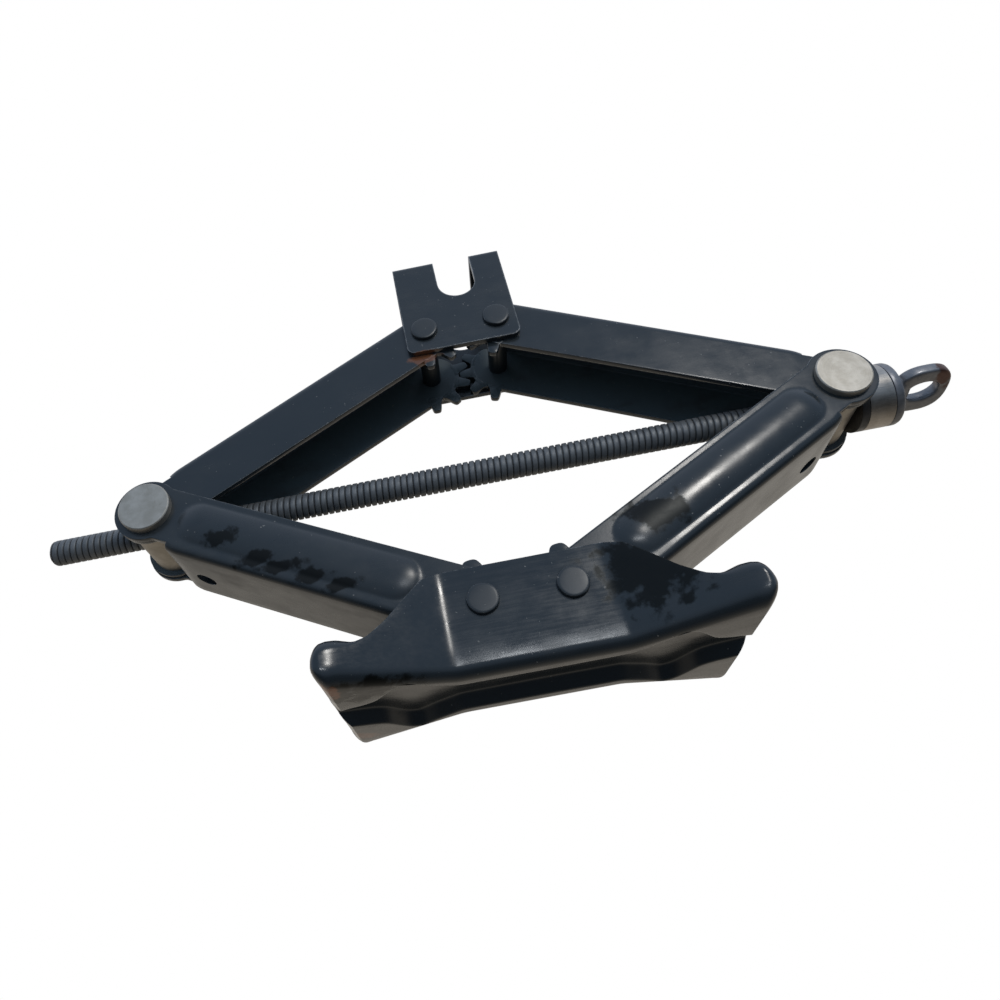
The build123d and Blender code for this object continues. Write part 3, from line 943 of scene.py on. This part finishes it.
# ---- stage -------------------------------------------------------------------------------
def make_floor():
    """Pale floor that is seen from above only; from below the camera looks through it."""
    mesh = bpy.data.meshes.new("floor")
    size = 6.0
    mesh.from_pydata([(-size, -size, 0), (size, -size, 0), (size, size, 0), (-size, size, 0)], [],
                     [(0, 1, 2, 3)])
    floor = bpy.data.objects.new("floor", mesh)
    scene.collection.objects.link(floor)
    n = Nodes("floor")
    n.set(Base_Color=(0.86, 0.86, 0.86), Roughness=0.9)
    clear = n.node("ShaderNodeBsdfTransparent")
    either = n.node("ShaderNodeMixShader")
    n.link(n.node("ShaderNodeNewGeometry").outputs["Backfacing"], either.inputs[0])
    n.link(n.shader.outputs[0], either.inputs[1])
    n.link(clear.outputs[0], either.inputs[2])
    n.link(either.outputs[0], n.out.inputs[0])
    mesh.materials.append(n.material)
    floor.visible_diffuse = False
    floor.visible_glossy = False
    floor.visible_transmission = False
    floor.visible_shadow = False


def make_world():
    """White for the camera; in light and reflections a ring of colours about the x axis.

    A stop's angle is 0 behind the jack, 90 overhead, -90 underneath and 180 in front.
    """
    world = bpy.data.worlds.new("world")
    scene.world = world
    world.use_nodes = True
    tree = world.node_tree
    tree.nodes.clear()
    out = tree.nodes.new("ShaderNodeOutputWorld")
    coord = tree.nodes.new("ShaderNodeTexCoord")
    apart = tree.nodes.new("ShaderNodeSeparateXYZ")
    tree.links.new(coord.outputs["Generated"], apart.inputs[0])
    turn = tree.nodes.new("ShaderNodeMath")
    turn.operation = "ARCTAN2"
    tree.links.new(apart.outputs["Z"], turn.inputs[0])
    tree.links.new(apart.outputs["Y"], turn.inputs[1])
    share = tree.nodes.new("ShaderNodeMapRange")
    share.inputs["From Min"].default_value = -math.pi
    share.inputs["From Max"].default_value = math.pi
    tree.links.new(turn.outputs[0], share.inputs["Value"])
    ramp = tree.nodes.new("ShaderNodeValToRGB")
    tree.links.new(share.outputs["Result"], ramp.inputs["Fac"])
    stops = [(-180, (0.30, 0.40, 0.54)), (-160, (0.24, 0.31, 0.41)), (-138, (0.055, 0.07, 0.09)),
             (-108, (0.06, 0.065, 0.07)), (-84, (0.20, 0.19, 0.175)), (-62, (0.36, 0.33, 0.285)),
             (-20, (0.44, 0.40, 0.345)), (20, (0.60, 0.57, 0.52)), (70, (0.62, 0.66, 0.74)),
             (110, (0.66, 0.78, 0.98)), (150, (0.33, 0.45, 0.63)), (180, (0.30, 0.40, 0.54))]
    points = ramp.color_ramp.elements
    while len(points) > 1:
        points.remove(points[-1])
    for i, (degrees, colour) in enumerate(stops):
        at = (degrees + 180) / 360
        stop = points[0] if i == 0 else points.new(at)
        stop.position = at
        stop.color = (*colour, 1.0)
    soft = tree.nodes.new("ShaderNodeBackground")
    tree.links.new(ramp.outputs["Color"], soft.inputs["Color"])
    soft.inputs["Strength"].default_value = 1.0
    white = tree.nodes.new("ShaderNodeBackground")
    white.inputs["Color"].default_value = (1, 1, 1, 1)
    path = tree.nodes.new("ShaderNodeLightPath")
    either = tree.nodes.new("ShaderNodeMixShader")
    tree.links.new(path.outputs["Is Camera Ray"], either.inputs[0])
    tree.links.new(soft.outputs[0], either.inputs[1])
    tree.links.new(white.outputs[0], either.inputs[2])
    tree.links.new(either.outputs[0], out.inputs[0])


def add_light(name, place, target, wide, high, power, colour):
    """Elliptic area light, in metres and watts, turned toward its target."""
    data = bpy.data.lights.new(name, "AREA")
    data.shape = "ELLIPSE"
    data.size = wide
    data.size_y = high
    data.energy = power
    data.color = colour
    light = bpy.data.objects.new(name, data)
    light.location = place
    aim = Vector(target) - Vector(place)
    light.rotation_mode = "QUATERNION"
    light.rotation_quaternion = aim.to_track_quat("-Z", "Y")
    scene.collection.objects.link(light)


def make_camera():
    """The photograph looks up at the jack from in front of its base."""
    place_mm = Vector((-30.90, -333.63, -95.49))
    azimuth = math.radians(1.85)
    elevation = math.radians(-33.21)
    roll = math.radians(-9.957)
    back = Vector((math.sin(azimuth) * math.cos(elevation),
                   -math.cos(azimuth) * math.cos(elevation), math.sin(elevation)))
    level = Vector((math.cos(azimuth), math.sin(azimuth), 0.0))
    right = math.cos(roll) * level + math.sin(roll) * back.cross(level)
    up = back.cross(right)
    data = bpy.data.cameras.new("camera")
    data.lens = 29.07
    data.sensor_width = 36.0
    data.shift_x = 0.099
    data.shift_y = -0.0456
    data.clip_start = 0.01
    data.clip_end = 50.0
    camera = bpy.data.objects.new("camera", data)
    turn = Matrix((right, up, back)).transposed().to_4x4()
    camera.matrix_world = Matrix.Translation(place_mm * MM) @ turn
    scene.collection.objects.link(camera)
    scene.camera = camera


make_floor()
make_world()
make_camera()
add_light("key", (0.57, -1.33, 0.66), (0, 0, 0.06), 0.22, 0.22, 5.2, (1.0, 0.97, 0.92))
add_light("strip", (0.22, -1.54, 0.26), (0, 0, 0.0), 0.60, 0.10, 2.2, (0.92, 0.96, 1.0))
scene.view_settings.view_transform = "Standard"
